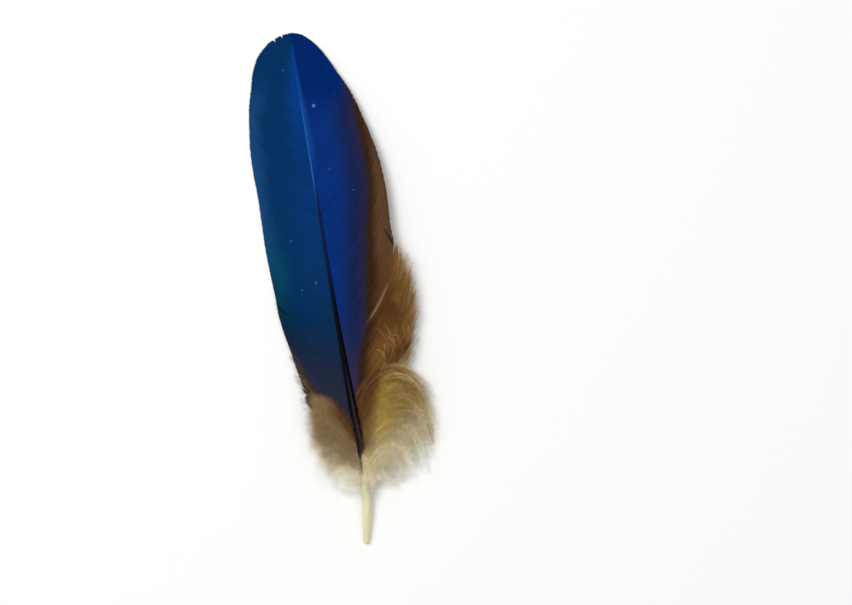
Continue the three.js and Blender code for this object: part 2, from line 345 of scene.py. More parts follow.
# A barb of the web: a low ridge with a wing of barbules on each side, and a keel underneath.
WEB_SECTION = [(1, 0), (0.4, 0.35), (0, 0.75), (-0.4, 0.35), (-1, 0), (-0.14, -0.9), (0.14, -0.9)]
WEB_UNDER = [0.35, 0, 0, 0, 0.35, 1, 1]  # how far each corner of the section belongs to the underside
WEB_UNDER_SIDES = [0, 0, 0, 0, 1, 1, 1]  # which of its sides belong there on the map
WEB_OVERLAP = 0.95  # half width of a barb, as a share of the gap to its neighbour
BARB_HEIGHT = 0.07
BARB_THINNING = 0.55  # how much of its height a barb loses towards its tip, as a share
# How much of its width a barb loses towards its tip, and between which shares of its length.
SHOULDER_TAPER = (0.15, 0.8, 0.97)
POINT_TAPER = (0.45, 0.93, 1.0)
FRAYED_TAPER = 0.3  # how much more its point loses where it is frayed
LOOSE_TAPER = 0.35  # and how much more its loose part loses
SHINGLE = 0.012  # how far a barb's edge nearer the tip lies over its neighbour
REACH_POWER = 0.85  # below 1, the points of a barb lie closer together towards its tip
LENGTH_CHANCE = 0.004  # how far a barb's length varies, as a share of it
FRAYED_LENGTH = (-0.12, 0.06)  # and how much shorter or longer it is where it is frayed
LOOSE_PART = (0.66, 1.0)  # the part of a frayed barb that is loose, as shares of its length
TUFT_CHANCE = 0.28  # the chance that a barb starts a new tuft
TUFT_CLOSING = 0.45  # how far a tuft's barbs close up on its middle
TUFT_SWAY = 0.25  # how far a loose part sways, and how far it strays
SWAY_BENDS = (8, 13)  # radians of the sway along a barb
TUFT_LIFT = 0.35  # how far a tuft rises or sinks
ANY_TURN = (0, 6.3)  # radians, where a wave may start
PARTING_REACH = 1.6  # along the shaft, how far off a parting still moves the barbs
FOLD_REACH = 2.5  # and how far off a fold still lifts them
FOLD_EDGE = 0.15  # along the shaft, on both sides of a fold, where it rises
FOLD_FULL = 0.9  # the share of a barb's length where a fold has its full height
RIPPLES = 45  # places along a vane between which it rises and sinks
RIPPLE_HEIGHT = 0.03
RIPPLED_PART = (0.2, 1.0)  # of a barb, as shares of its length
PALE_WIDTH = 0.8  # in barbs
PALE_LIFT = 0.12  # how far a pale barb stands up
PALE_BEGINS = 0.15  # the share of a barb's length over which it turns pale
PALE_ENDS = 0.1  # and over which it turns back
MAP_MARGIN = 0.06  # between two barbs on the map, as a share of the stripe that each has
MAP_BOTTOM = 0.01
WEB_MAP_HEIGHT = 0.46  # of a barb's upper side on the map, and of its underside


def web_shifts(rng, roots, reach, gap, frayed, partings):
    """How far the points of a vane's barbs are moved towards the feather's tip, how far up, and how
    loose they are. A parting pushes the barbs on its two sides apart, by half its gap at their tips,
    and less with distance from it. Where barbs are loose, they close up on the middle of their tuft,
    sway like a sine along their length and rise with their tuft. All barbs share a slow ripple in
    height."""
    count = len(roots)
    aside = np.zeros_like(reach)
    for at, begins, opening in partings:
        away = (roots - at)[:, None]
        near = np.exp(-np.abs(away) / PARTING_REACH)
        aside += np.sign(away) * opening / 2 * near * soft(reach, begins, 1.0)
    number = np.arange(count)
    tuft = np.cumsum(rng.random(count) < TUFT_CHANCE)
    middle = (np.bincount(tuft, number) / np.bincount(tuft))[tuft]
    loose = soft(reach, *LOOSE_PART) * frayed
    sway = np.sin(reach * rng.uniform(*SWAY_BENDS, (count, 1)) + rng.uniform(*ANY_TURN, (count, 1)))
    closing = (middle - number)[:, None] * gap * TUFT_CLOSING
    aside += loose * (closing + TUFT_SWAY * (sway + rng.normal(0, 1, (count, 1))))
    knots = np.linspace(roots[0], roots[-1], RIPPLES)
    ripple = np.interp(roots, knots, rng.normal(0, 1, RIPPLES))[:, None]
    lift = rng.normal(0, TUFT_LIFT, tuft[-1] + 1)[tuft][:, None]
    return aside, RIPPLE_HEIGHT * ripple * soft(reach, *RIPPLED_PART) + loose * lift, loose


def fold_heights(roots, reach, folds):
    """How far the folds of a vane lift its points. A fold lifts the barbs beyond it by its step, less
    with distance from it, from the share of their length where it begins."""
    lift = np.zeros_like(reach)
    for at, begins, step in folds:
        away = (roots - at)[:, None]
        near = np.exp(-np.abs(away) / FOLD_REACH)
        lift += step * soft(away, -FOLD_EDGE, FOLD_EDGE) * near * soft(reach, begins, FOLD_FULL)
    return lift


def paleness(roots, reach, pale_barbs):
    """How pale each point of a vane is: 1 on the barbs nearest the named roots, between two shares of
    their length, and less on their neighbours, like a bell."""
    number = np.arange(len(roots))
    pale = np.zeros_like(reach)
    for at, begins, ends in pale_barbs:
        nearest = np.argmin(np.abs(roots - at))
        chosen = np.exp(-((number - nearest) / PALE_WIDTH) ** 2)[:, None]
        turned = soft(reach, begins, begins + PALE_BEGINS) * (1 - soft(reach, ends - PALE_ENDS, ends))
        pale += chosen * turned
    return pale


def barb_taper(reach, frayed, loose):
    """The width of a vane's barbs as a share of their full width: it falls at the shoulder and again
    at the point, more where they are frayed or loose."""
    shoulder, *shoulder_part = SHOULDER_TAPER
    point, *point_part = POINT_TAPER
    narrowing = shoulder * soft(reach, *shoulder_part)
    narrowing = narrowing + (point + FRAYED_TAPER * frayed) * soft(reach, *point_part)
    return (1 - narrowing) * (1 - LOOSE_TAPER * loose)


def web(name, side, rows, first, count, frayed_rows, partings, folds, pale_barbs, seed, finish):
    """One vane as closed flat barbs side by side, each lapping over the next like a tile. Pale barbs
    stand up a little. The field run is how far a point is from its barb's start, over is its place
    across the barb from -1 to 1, under is 1 on the underside, and past_blue is how far it lies past
    the edge of the inner vane's blue."""
    rng = np.random.default_rng(seed)
    roots = even_roots(rows, WEB_TIP, first, rows[-1][0], count)
    frayed = follow(frayed_rows, roots)[:, :1]
    length = 1 + LENGTH_CHANCE * rng.standard_normal((count, 1))
    length = length + frayed * rng.uniform(*FRAYED_LENGTH, (count, 1))
    reach = np.linspace(0, 1, WEB_STEPS)[None, :] ** REACH_POWER * length
    lines = web_lines(side, rows, roots, reach)
    forward = unit(np.gradient(lines, axis=1))
    beside = np.gradient(lines, axis=0)
    up = unit(np.cross(forward, beside)) * side
    distal = unit(np.cross(up, forward)) * side
    gap = np.abs(np.sum(beside * distal, axis=-1))
    aside, lift, loose = web_shifts(rng, roots, reach, gap, frayed, partings)
    pale = paleness(roots, reach, pale_barbs)
    lines = lines + distal * aside[..., None]
    lines[..., 2] += lift + fold_heights(roots, reach, folds) + PALE_LIFT * pale
    half_width = gap * WEB_OVERLAP * barb_taper(reach, frayed, loose)
    half_height = BARB_HEIGHT * (1 - BARB_THINNING * reach)
    points = strand_points(lines, up, half_width, half_height, WEB_SECTION, SHINGLE)
    points[..., 2] = np.maximum(points[..., 2], 0.0)
    flat = points.reshape(-1, 3)
    run = np.cumsum(np.linalg.norm(np.diff(lines, axis=1, prepend=lines[:, :1]), axis=-1), axis=1)

    def spread(values):
        """The same value for every corner of a ring, where values has one for each ring."""
        return np.broadcast_to(values, points.shape[:3]).ravel()

    fields = {
        "reach": spread(reach[..., None]),
        "root": spread(roots[:, None, None]),
        "run": spread(run[..., None]),
        "over": spread(np.array(WEB_SECTION)[:, 0]),
        "chance": spread(rng.uniform(-1, 1, (count, 1, 1))),
        "under": spread(np.array(WEB_UNDER)),
        "pale": spread(pale[..., None]),
        "past_blue": flat[:, 0] - follow(BLUE_EDGE, flat[:, 1])[:, 0],
    }
    faces = strand_faces(count, WEB_STEPS, len(WEB_SECTION))
    left = (np.arange(count) + MAP_MARGIN) / count
    right = left + (1 - 2 * MAP_MARGIN) / count
    low = np.full(count, MAP_BOTTOM)
    spots = strand_spots(left, right, low, low + WEB_MAP_HEIGHT, WEB_STEPS, WEB_UNDER_SIDES)
    return make_piece(name, flat, faces, spots, fields, finish)


# How far up the shaft's side down may start, in degrees. Each row: along, the most.
CLIMB = [[14, 85], [20, 80], [24, 40], [40, 20]]
DOWN_STEPS = 15  # points along a loose barb
DOWN_SECTION = [(1, 0), (0, 1), (-1, 0), (0, -1)]
UP = np.array([0.0, 0.0, 1.0])
LATE_START = 0.08  # how much later than its span a loose barb may begin, as a share of its length
SHORT_ENDS = 1.4  # above 1, fewer loose barbs stop short
LOW_CLIMB = 1.5  # above 1, more of them start low on the shaft
WAVE_BENDS = (5, 12)  # radians of the sideways wave along a barb
LIFT_BENDS = (5, 10)  # and of the wave up and down
LIFT_TO_WAVE = 0.6  # the second wave's height, as a share of the first's width
ARCH_POWER = 0.7  # below 1, a lock rises more steeply at both ends
LATE_PART = (0.3, 0.6)  # the part of a barb along which a late loft begins
LOCK_HEIGHTS = (-0.3, 1)  # shares of the loft between which the locks vary
SUNK_PART = (0, 0.4)  # the part of a barb along which it comes up out of what it lies on
LOCK_CHANCE = 0.6  # how much of a barb's chance is its lock's
LOWEST_STEM = 0.12
STEM_TAPER = 0.75  # how much of its thickness a loose barb loses towards its tip, as a share
HAIR_TURNS = np.radians([90, 210, 330])
HAIR_POINTS = 7
HAIR_LEAN = (0.35, 0.9)  # how far a hair leans forwards, for a step of 1 aside
HAIR_RISE = 0.05  # and how far it rises
HAIR_STRAY = 0.12
HAIR_SHORTENING = 0.25  # how much shorter a barb's last hairs are than its first, as a share
HAIR_LENGTHS = (0.55, 1.15)  # shares of the look's length between which hairs vary
HAIR_BEND = (-0.1, 0.5)  # how much further forwards a hair's outer half leans
HAIR_BEND_STRAY = 0.18
HAIR_TAPER = 0.75  # a hair's radius half way along, as a share of that at its base
LOWEST_HAIR = 0.05


def hairs(base, middle, tip, radius):
    """Closed slivers: a ring of three points at the base, a smaller one in the middle, and a point.
    Returns the points, seven to a hair, and the faces: six sides and the base."""
    along = unit(middle - base)
    across = unit(np.cross(UP, along) + 1e-6)
    upward = np.cross(along, across)
    cosine, sine = (f(HAIR_TURNS)[None, :, None] for f in (np.cos, np.sin))
    spokes = radius * (cosine * across[:, None] + sine * upward[:, None])
    rings = [base[:, None] + spokes, middle[:, None] + spokes * HAIR_TAPER]
    points = np.concatenate([*rings, tip[:, None]], axis=1)
    start = (np.arange(len(base)) * HAIR_POINTS)[:, None]
    corner = np.arange(3)[None, :]
    beside = (corner + 1) % 3
    walls = np.stack([start + corner, start + beside, start + beside + 3, start + corner + 3], axis=-1)
    point = np.broadcast_to(start + HAIR_POINTS - 1, walls.shape[:2])
    ends = np.stack([start + corner + 3, start + beside + 3, point], axis=-1)
    feet = start + np.array([[2, 1, 0]])
    return points, walls, ends, feet


def hair_spots(left, right, low, high):
    """Places on the map for hairs: each has a small upright block, which its three sides share, with
    the foot of the hair in the block's lower corner."""
    middle = (low + high) / 2
    wall = np.stack([left, low, right, low, right, middle, left, middle], axis=-1).reshape(-1, 1, 4, 2)
    end = np.stack([left, middle, right, middle, (left + right) / 2, high], axis=-1).reshape(-1, 1, 3, 2)
    foot = np.stack([left, low, right, low, left, (low + middle) / 2], axis=-1).reshape(-1, 3, 2)
    return np.repeat(wall, 3, axis=1), np.repeat(end, 3, axis=1), foot


def loose_stems(rng, curve, side, rows, roots, span, look):
    """Middle lines of loose barbs, how far along its barb each of their points is, and the number of
    each barb's lock. A barb follows the curve of its root, strays by a part that it shares with its
    lock and a part of its own, and waves sideways like a sine and up and down like a cosine, more
    towards its tip. A lock is raised by its own share of the loft, along an arch. A loft that comes
    late begins about half way along. Some barbs stop short, and their first parts can be sunk."""
    count = len(roots)
    own = np.linspace(0, 1, DOWN_STEPS)[None, :]
    begins = span[0] + rng.uniform(0, LATE_START, (count, 1))
    ends = span[1] * (1 - look["ragged"] * rng.uniform(0, 1, (count, 1)) ** SHORT_ENDS)
    reach = begins + (ends - begins) * own
    lock = np.cumsum(rng.random(count) < 1 / look["lock"])
    locks = lock[-1] + 1
    shared = rng.normal(0, 1, (3, locks, 3))[:, lock] * (1 - look["loose"])
    stray = (shared + rng.normal(0, 1, (3, count, 3)) * look["loose"]) * look["stray"]
    climb = np.radians(rng.uniform(0, 1, count) ** LOW_CLIMB * follow(CLIMB, roots)[:, 0])
    lines = curve(side, rows, roots, reach, stray, climb)
    wave = np.sin(reach * rng.uniform(*WAVE_BENDS, (count, 1)) + rng.uniform(*ANY_TURN, (count, 1)))
    lift = np.cos(reach * rng.uniform(*LIFT_BENDS, (count, 1)) + rng.uniform(*ANY_TURN, (count, 1)))
    forward = unit(np.gradient(lines, axis=1))
    aside = unit(np.cross(UP, forward))
    lines = lines + aside * (look["wave"] * wave * reach)[..., None]
    arch = np.sin(np.pi * np.clip(reach, 0, 1)) ** ARCH_POWER
    arch = arch * (1 - look["late"] * (1 - soft(reach, *LATE_PART)))
    lines[..., 2] += rng.uniform(*LOCK_HEIGHTS, (locks, 1))[lock] * look["loft"] * arch
    lines[..., 2] += look["wave"] * LIFT_TO_WAVE * lift * reach
    lines[..., 2] -= look["sunk"] * (1 - soft(own, *SUNK_PART))
    lines[..., 2] = np.maximum(lines[..., 2], LOWEST_STEM)
    return lines, reach, lock


def barbules(rng, lines, look):
    """Hairs on both sides of loose barbs, evenly spaced along them and shorter towards their tips:
    where each starts, its middle and its tip. A hair leans forwards by chance and bends a little half
    way along. Also returns the step of its barb on which each pair of hairs stands."""
    count, each = len(lines), look["barbules"]
    run = (np.arange(each) + 0.5) / each
    place = run * (DOWN_STEPS - 1)
    step = np.floor(place).astype(int)
    part = (place - step)[None, :, None]
    base = lines[:, step] * (1 - part) + lines[:, step + 1] * part
    ahead = unit(lines[:, step + 1] - lines[:, step])[:, :, None]
    aside = unit(np.cross(UP, ahead))
    hands = np.array([1.0, -1.0])[None, None, :, None]
    shape = (count, each, 2, 1)
    toward = ahead * rng.uniform(*HAIR_LEAN, shape) + aside * hands
    toward = toward + UP * rng.normal(HAIR_RISE, look["fluff"], shape)
    toward = unit(toward + rng.normal(0, HAIR_STRAY, (count, each, 2, 3)))
    shorter = 1 - HAIR_SHORTENING * run[None, :, None, None]
    length = look["barbule"] * shorter * rng.uniform(*HAIR_LENGTHS, shape)
    base = np.broadcast_to(base[:, :, None], toward.shape)
    middle = base + toward * length / 2
    bend = ahead * rng.uniform(*HAIR_BEND, shape) + rng.normal(0, HAIR_BEND_STRAY, toward.shape)
    tip = middle + unit(toward + bend) * length / 2
    base, middle, tip = (a.reshape(-1, 3).copy() for a in (base, middle, tip))
    for points in (middle, tip):
        points[:, 2] = np.maximum(points[:, 2], LOWEST_HAIR)
    return base, middle, tip, step


BARB_MAP_HEIGHT = 0.47  # of the column that a loose barb has on the map
STEM_COLUMN = (0.05, 0.25)  # where its own stripe is, as shares of the column's width
HAIR_COLUMNS = (0.3, 0.65)  # where the stripes of its left and right hairs begin
HAIR_COLUMN = 0.3  # and how wide each of these is
HAIR_MAP_HEIGHT = 0.42  # of all hairs of one side together


def plumes(name, curve, side, rows, roots, span, seed, finish, look):
    """Loose barbs with barbules: each barb is a thin waving strand with hairs on both sides. The map
    has a row of columns in each of its halves, with one barb and its hairs in each column. A barb's
    chance is partly its lock's and partly its own."""
    rng = np.random.default_rng(seed)
    count = len(roots)
    lines, reach, lock = loose_stems(rng, curve, side, rows, roots, span, look)
    thick = look["thick"] * (1 - STEM_TAPER * np.linspace(0, 1, DOWN_STEPS)) * np.ones((count, 1))
    stems = strand_points(lines, np.broadcast_to(UP, lines.shape), thick, thick, DOWN_SECTION)
    stems = stems.reshape(-1, 3)
    base, middle, tip, step = barbules(rng, lines, look)
    points, walls, ends, feet = hairs(base, middle, tip, look["fine"])

    each = look["barbules"]
    column = 1 / math.ceil(count / 2)
    number = np.arange(count)
    left = number // 2 * column
    low = MAP_BOTTOM + STRIPE_LIFT * (number % 2)
    stem_left, stem_right = (left + share * column for share in STEM_COLUMN)
    one_stripe = np.zeros(len(DOWN_SECTION))
    stem_spots = strand_spots(stem_left, stem_right, low, low + BARB_MAP_HEIGHT, DOWN_STEPS, one_stripe)
    barb = np.repeat(number, each * 2)
    hair_left = left[barb] + np.tile(HAIR_COLUMNS, count * each) * column
    hair_right = hair_left + HAIR_COLUMN * column
    hair_low = low[barb] + BARB_MAP_HEIGHT * np.tile(np.repeat(np.arange(each) / each, 2), count)
    hair_places = hair_spots(hair_left, hair_right, hair_low, hair_low + HAIR_MAP_HEIGHT / each)
    spots = np.concatenate([stem_spots, *(s.reshape(-1, 2) for s in hair_places)])

    total = len(stems)
    faces = [
        *strand_faces(count, DOWN_STEPS, len(DOWN_SECTION)),
        (walls + total).reshape(-1, 4), (ends + total).reshape(-1, 3), feet + total,
    ]
    chance = rng.uniform(-1, 1, lock[-1] + 1)[lock] * LOCK_CHANCE
    chance = chance + rng.uniform(-1, 1, count) * (1 - LOCK_CHANCE)
    stem_reach = np.repeat(reach.ravel(), len(DOWN_SECTION))
    hair_reach = np.repeat(reach[:, step].ravel(), 2 * HAIR_POINTS)
    stem_barb = np.repeat(number, DOWN_STEPS * len(DOWN_SECTION))
    which = np.concatenate([stem_barb, np.repeat(barb, HAIR_POINTS)])
    fields = {
        "chance": chance[which], "root": roots[which],
        "reach": np.concatenate([stem_reach, hair_reach]),
    }
    every = np.concatenate([stems, points.reshape(-1, 3)])
    return make_piece(name, every, faces, spots, fields, finish)


# ---- The shaft ----

SHAFT_STEPS = 240
SHAFT_SIDES = 24
STEP_POWER = 1.05  # above 1, the rings lie closer together at the quill
# The quill's end, from the bottom of its hole outwards. Each: along, share of the full width.
QUILL_RIM = [(0.7, 0.2), (0.25, 0.34), (0.02, 0.52), (0.0, 0.72), (0.12, 0.92)]
QUILL_WALL = 0.4  # along, where the full width begins
SHAFT_TIP = 0.4  # the share of the width at the tip's end face
GROOVE_WIDTH = 0.32  # radians around the shaft
GROOVE_DEPTH = 0.22  # as a share of half the shaft's depth
GROOVE_BEGINS = (26, 40)  # along
# On the map, the shaft's lengthwise stretch and its girth, and the round maps of its two ends.
SHAFT_STRETCH = (0.02, 0.9)
SHAFT_GIRTH = (0.02, 0.98)
END_PLACES = ([0.2, 0.95], [0.6, 0.95])
END_RADIUS = 0.03


def make_shaft(finish):
    """Ovals along the shaft's middle line, deeper than they are wide, with a shallow groove along
    the underside of the rachis. The quill's end turns in to a small blind hole. The field around is
    1 on top and -1 underneath, and beside is 1 and -1 on the inner and outer sides."""
    rim = np.array(QUILL_RIM)
    wall = QUILL_WALL + (SHAFT_END - QUILL_WALL) * np.linspace(0, 1, SHAFT_STEPS) ** STEP_POWER
    along = np.concatenate([rim[:, 0], wall])
    share = np.concatenate([rim[:, 1], np.ones(SHAFT_STEPS)])
    share[-1] = SHAFT_TIP
    turn = np.linspace(0, 2 * np.pi, SHAFT_SIDES, endpoint=False)[None, :]
    half = (shaft_width(along) * share / 2)[:, None]
    below = np.exp(-((turn - 1.5 * np.pi) / GROOVE_WIDTH) ** 2) * soft(along, *GROOVE_BEGINS)[:, None]
    across = np.cos(turn) * half
    up = np.sin(turn) * half * SHAFT_DEPTH_TO_WIDTH * (1 - GROOVE_DEPTH * below)
    middle = shaft_middle(along)
    points = np.stack([middle[:, :1] + across, middle[:, 1:2] + 0 * across, middle[:, 2:] + up], axis=-1)
    points[..., 2] = np.maximum(points[..., 2], 0.0)
    rings = len(along)
    faces = [f[:, ::-1] for f in strand_faces(1, rings, SHAFT_SIDES)]
    u = np.linspace(*SHAFT_GIRTH, SHAFT_SIDES + 1)
    v = np.linspace(*SHAFT_STRETCH, rings)
    low, high = np.meshgrid(v[:-1], u[:-1], indexing="ij"), np.meshgrid(v[1:], u[1:], indexing="ij")
    walls = np.stack([low[1], high[0], high[1], high[0], high[1], low[0], low[1], low[0]], axis=-1)
    disc = np.stack([np.cos(turn[0]), np.sin(turn[0])], axis=-1) * END_RADIUS
    ends = np.concatenate([disc[::-1] + END_PLACES[0], disc + END_PLACES[1]])
    fields = {
        "around": np.broadcast_to(np.sin(turn), across.shape).ravel(),
        "beside": np.broadcast_to(np.cos(turn), across.shape).ravel(),
    }
    spots = np.concatenate([walls.reshape(-1, 2), ends[::-1]])
    return make_piece("shaft", points.reshape(-1, 3), faces, spots, fields, finish)


# ---- Finishes ----

def paint(red, green, blue):
    """A display colour from 0 to 255 as the shader's linear colour: each channel over 255, raised
    past its toe to the power 2.4."""
    shares = [c / 255 for c in (red, green, blue)]
    return (*(s / 12.92 if s < 0.04045 else ((s + 0.055) / 1.055) ** 2.4 for s in shares), 1.0)


class Value:
    """A number that changes over a surface, with the sums that are done on it."""

    def __init__(self, finish, socket):
        self.finish = finish
        self.socket = socket

    def worked(self, operation, first, second):
        """One sum on two values or numbers."""
        node = self.finish.node("ShaderNodeMath", {"operation": operation}, {0: first, 1: second})
        return Value(self.finish, node.outputs[0])

    def __add__(self, other):
        return self.worked("ADD", self, other)

    def __radd__(self, other):
        return self.worked("ADD", other, self)

    def __sub__(self, other):
        return self.worked("SUBTRACT", self, other)

    def __rsub__(self, other):
        return self.worked("SUBTRACT", other, self)

    def __mul__(self, other):
        return self.worked("MULTIPLY", self, other)

    def __rmul__(self, other):
        return self.worked("MULTIPLY", other, self)


class Finish:
    """One material. Its nodes are made by node(), and the shader's own sockets are set by name."""

    def __init__(self, name, **sockets):
        self.material = bpy.data.materials.new(name)
        self.material.use_nodes = True
        self.tree = self.material.node_tree
        self.shader = self.tree.nodes["Principled BSDF"]
        for socket, value in sockets.items():
            self.shader.inputs[socket.replace("_", " ")].default_value = value

    def node(self, kind, settings, inputs):
        """A node of one type, with its settings set first and then its sockets set or linked."""
        made = self.tree.nodes.new(kind)
        for setting, value in settings.items():
            setattr(made, setting, value)
        for socket, value in inputs.items():
            self.feed(made.inputs[socket], value)
        return made

    def feed(self, socket, value):
        """Links a value to a socket, or sets the socket to a plain number or colour."""
        if isinstance(value, Value):
            self.tree.links.new(value.socket, socket)
        else:
            socket.default_value = value

    def field(self, name):
        """A number that the piece's points carry."""
        node = self.node("ShaderNodeAttribute", {"attribute_name": name}, {})
        return Value(self, node.outputs["Fac"])

    def fields(self, *names):
        """Several of these numbers."""
        return [self.field(name) for name in names]

    def step(self, value, low, high):
        """0 below low, 1 above high, and smooth in between."""
        node = self.node(
            "ShaderNodeMapRange", {"interpolation_type": "SMOOTHSTEP"},
            {"Value": value, "From Min": low, "From Max": high},
        )
        return Value(self, node.outputs["Result"])

    def fade(self, value, low, high):
        """1 below low, 0 above high, and smooth in between."""
        return 1.0 - self.step(value, low, high)

    def apart(self, value, place):
        """How far a value is from a place, whichever side it is on."""
        node = self.node("ShaderNodeMath", {"operation": "ABSOLUTE"}, {0: value - place})
        return Value(self, node.outputs[0])

    def place(self, x, y, z):
        """Three numbers as one vector."""
        node = self.node("ShaderNodeCombineXYZ", {}, {"X": x, "Y": y, "Z": z})
        return Value(self, node.outputs["Vector"])

    def noise(self, x, y, z=0.0, detail=2.0):
        """Cloudy noise from 0 to 1, read at three numbers."""
        inputs = {"Vector": self.place(x, y, z), "Scale": 1.0, "Detail": detail}
        node = self.node("ShaderNodeTexNoise", {}, inputs)
        return Value(self, node.outputs["Fac"])

    def mix(self, factor, first, second):
        """The first colour where the factor is 0, and the second where it is 1."""
        node = self.node("ShaderNodeMix", {"data_type": "RGBA"}, {"Factor": factor, 6: first, 7: second})
        return Value(self, node.outputs[2])

    def scaled(self, colour, factor):
        """A colour made brighter or darker by a factor."""
        node = self.node("ShaderNodeVectorMath", {"operation": "SCALE"}, {0: colour, "Scale": factor})
        return Value(self, node.outputs["Vector"])

    def bump(self, height, strength, distance):
        """Relief from a height, on the shader's normal."""
        inputs = {"Height": height, "Strength": strength, "Distance": distance}
        node = self.node("ShaderNodeBump", {}, inputs)
        self.feed(self.shader.inputs["Normal"], Value(self, node.outputs["Normal"]))

    def coloured(self, colour):
        """Gives the shader its colour. Returns the material."""
        self.feed(self.shader.inputs["Base Color"], colour)
        return self.material


# In the finishes below, each mask is named for what it covers. The two numbers of a step or a fade are
# where it begins and ends: millimetres for along, across and past, the part of a barb's length for
# reach, and the place along the shaft where a barb starts for root. Clouds and each barb's chance move
# those edges a little. The shaft's beside and around go from -1 to 1, and chance does too.

DEEP_BLUE = paint(7, 47, 91)
SHAFT_BLUE = paint(9, 50, 106)
LOW_BLUE = paint(12, 46, 88)
TIP_BLUE_AND_HIGHLIGHT = paint(4, 60, 136)
EDGE_BLUE = paint(24, 66, 112)
SEA_TEAL = paint(10, 66, 88)
DEEP_SEA = paint(4, 44, 70)
NIGHT_TEAL = paint(4, 34, 58)
DUSK = paint(44, 44, 62)
ROYAL = paint(10, 44, 112)
NIGHT_BLUE = paint(2, 36, 98)
RIDGE_SIDE = paint(18, 62, 132)
INDIGO = paint(22, 34, 74)
VIOLET = paint(38, 35, 60)
DUSK_VIOLET = paint(58, 50, 80)
DARK_BROWN = paint(50, 33, 19)
BROWN = paint(88, 62, 42)
RUST_BROWN = paint(80, 51, 26)
WARM_BROWN = paint(120, 84, 42)
TAN = paint(140, 104, 56)
ASH = paint(58, 46, 40)
GOLD = paint(150, 118, 42)
UMBER_GOLD = paint(96, 76, 40)
PALE_BARB = paint(158, 124, 88)
# painted shadow colour for the creases
CREASE_SHADOW = paint(10, 12, 22)
SPECK = paint(120, 150, 190)
# Creases that run in from the rim, with painted shadow along them: start, end (across, along), half width.
OUTER_CREASE = ((-13.8, 62.6), (-9.8, 57.9), 0.35)
INNER_CREASE = ((18.2, 71.8), (15.6, 78.2), 0.5)
# Dust on the blue. Each: across, along, radius, strength.
OUTER_SPECKS = [
    (-2.8, 66.4, 0.4, 0.3), (-6.6, 65.1, 0.35, 0.2), (-7.6, 77.6, 0.35, 0.2), (-3.5, 120.4, 0.35, 0.2),
]
INNER_SPECKS = [(2.9, 110.4, 0.55, 0.55), (9.8, 88.0, 0.3, 0.2), (4.6, 94.0, 0.3, 0.15)]

BARBULE_TURNS = 60.0  # radians of the stripes in a millimetre along a barb
BARBULE_LEAN = 9.0  # radians by which they lag at a barb's edges
BARBULE_STRENGTH = 0.25
BARBULE_RELIEF = 0.00002  # metres


def herringbone(finish):
    """Barbules: fine stripes that lean forwards on both wings of a barb, as relief. Their height is
    the sine of how far along the barb they are, less how far from its middle."""
    run, over = finish.fields("run", "over")
    phase = run * BARBULE_TURNS - finish.apart(over, 0.0) * BARBULE_LEAN
    wave = finish.node("ShaderNodeMath", {"operation": "SINE"}, {0: phase})
    finish.bump(Value(finish, wave.outputs[0]) * 0.5 + 0.5, BARBULE_STRENGTH, BARBULE_RELIEF)


def underside(finish, top):
    """The top colour above, and golden olive on the keels and the wings' underside."""
    root, reach, under = finish.fields("root", "reach", "under")
    gold = finish.mix(finish.noise(root * 1.3, reach * 3.0), GOLD, UMBER_GOLD)
    return finish.mix(finish.step(under, 0.42, 0.58), top, gold)


CHANCE_SHARE = 0.25  # how much of a vane's streaks is by chance
BAND_SHARE = 1.3  # how much is in bands
GRAIN_SHARE = 1.2  # and how much is grain


def streaks(finish, colour, strength):
    """Barbs differ a little in brightness: one part by chance, one in bands a few barbs wide, and one
    in a fine grain."""
    root, reach, across, along, chance = finish.fields("root", "reach", "across", "along", "chance")
    band = finish.noise(root * 1.7, reach * 2.2, 7.0)
    grain = finish.noise(across * 2.2, along * 2.2, 3.0, 4.0)
    factor = 1.0 + chance * (CHANCE_SHARE * strength) + (band - 0.5) * (BAND_SHARE * strength)
    return finish.scaled(colour, factor + (grain - 0.5) * (GRAIN_SHARE * strength))


def speckled(finish, colour, specks):
    """Small round soft spots of dust."""
    place = finish.place(*finish.fields("across", "along"), 0.0)
    for across, along, radius, strength in specks:
        ends = {0: place, 1: (across, along, 0.0)}
        away = finish.node("ShaderNodeVectorMath", {"operation": "DISTANCE"}, ends)
        spot = finish.fade(Value(finish, away.outputs["Value"]), radius * 0.4, radius)
        colour = finish.mix(spot * strength, colour, SPECK)
    return colour


def crease(finish, start, end, width):
    """Where shadow is painted along a straight crease between two places: 1 in its middle, falling to 0 at
    its width to both sides and past its ends."""
    run = math.dist(start, end)
    ahead = ((end[0] - start[0]) / run, (end[1] - start[1]) / run)
    across = finish.field("across") - start[0]
    along = finish.field("along") - start[1]
    travelled = across * ahead[0] + along * ahead[1]
    aside = finish.apart(across * ahead[1] - along * ahead[0], 0.0)
    inside = finish.step(travelled, -0.2, 0.4) * finish.fade(travelled, run * 0.6, run)
    return finish.fade(aside, 0.0, width) * inside


VANE_ROUGHNESS = 0.7


